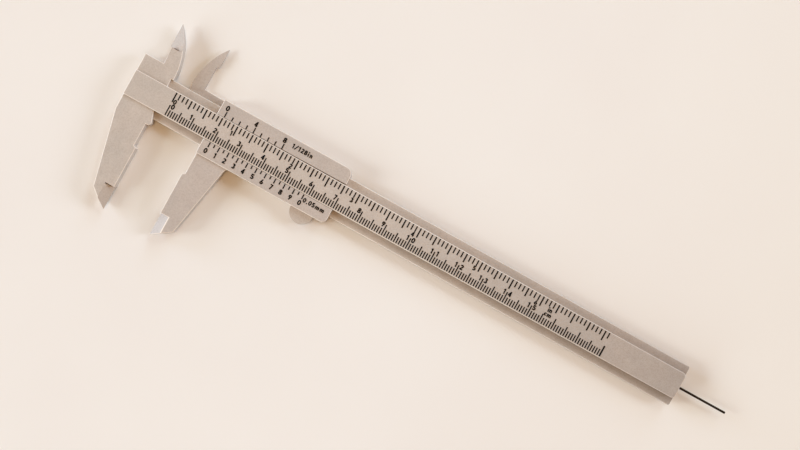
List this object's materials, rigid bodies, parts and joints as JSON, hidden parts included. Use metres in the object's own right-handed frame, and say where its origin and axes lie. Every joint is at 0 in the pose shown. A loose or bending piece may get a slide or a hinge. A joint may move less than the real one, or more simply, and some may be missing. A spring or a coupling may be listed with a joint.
{
  "type": "vernier caliper",
  "caption": "Plastic sliding vernier caliper with outside and inside jaws, metric and inch scales, a depth rod and a thumb brake on the slider.",
  "frame": {"origin": "on the beam's centre line, in the plane of the fixed outside jaw's measuring face, on the flat back that the tool lies on", "axes": "+X along the beam to its tail and the way the slider opens, +Y to the inside jaws, +Z out of the face with the scales"},
  "size_m": [0.2475, 0.0734, 0.0049],
  "materials": {
    "plastic": "fine matt moulded texture, warm grey",
    "ink": "pad-printed, matt black",
    "dark_steel": "darkened wire",
    "steel": "plain",
    "brass": "sawn"
  },
  "bodies": {
    "beam_assembly": {"beam": "plastic", "tail_stop": "plastic", "tail_stop_screws": "steel", "metric_graduations": "ink", "metric_numerals": "ink", "inch_graduations": "ink", "inch_numerals": "ink"},
    "slider_assembly": {"slider": "plastic", "depth_rod": "dark_steel", "rod_anchor": "brass", "rod_anchor_screw": "steel", "brake_pivot_pin": "steel", "brake_spring": "steel", "metric_vernier_marks": "ink", "metric_vernier_numerals": "ink", "inch_vernier_marks": "ink", "inch_vernier_numerals": "ink"},
    "brake_lever": {"thumb_brake": "plastic"}
  },
  "joints": [
    {"name": "slider_slide", "type": "slide", "parent": "beam_assembly", "child": "slider_assembly", "axis": [1, 0, 0], "range_m": [-0.0194, 0.1315]},
    {"name": "brake_pivot", "type": "hinge", "parent": "slider_assembly", "child": "brake_lever", "pos_m": [0.0554, -0.0093, 0.0023], "axis": [0, 0, 1], "range_deg": [0, 3], "stiffness_Nm_per_rad": 0.65, "springref_deg": -0.97, "deforming": ["brake_spring"]}
  ]
}
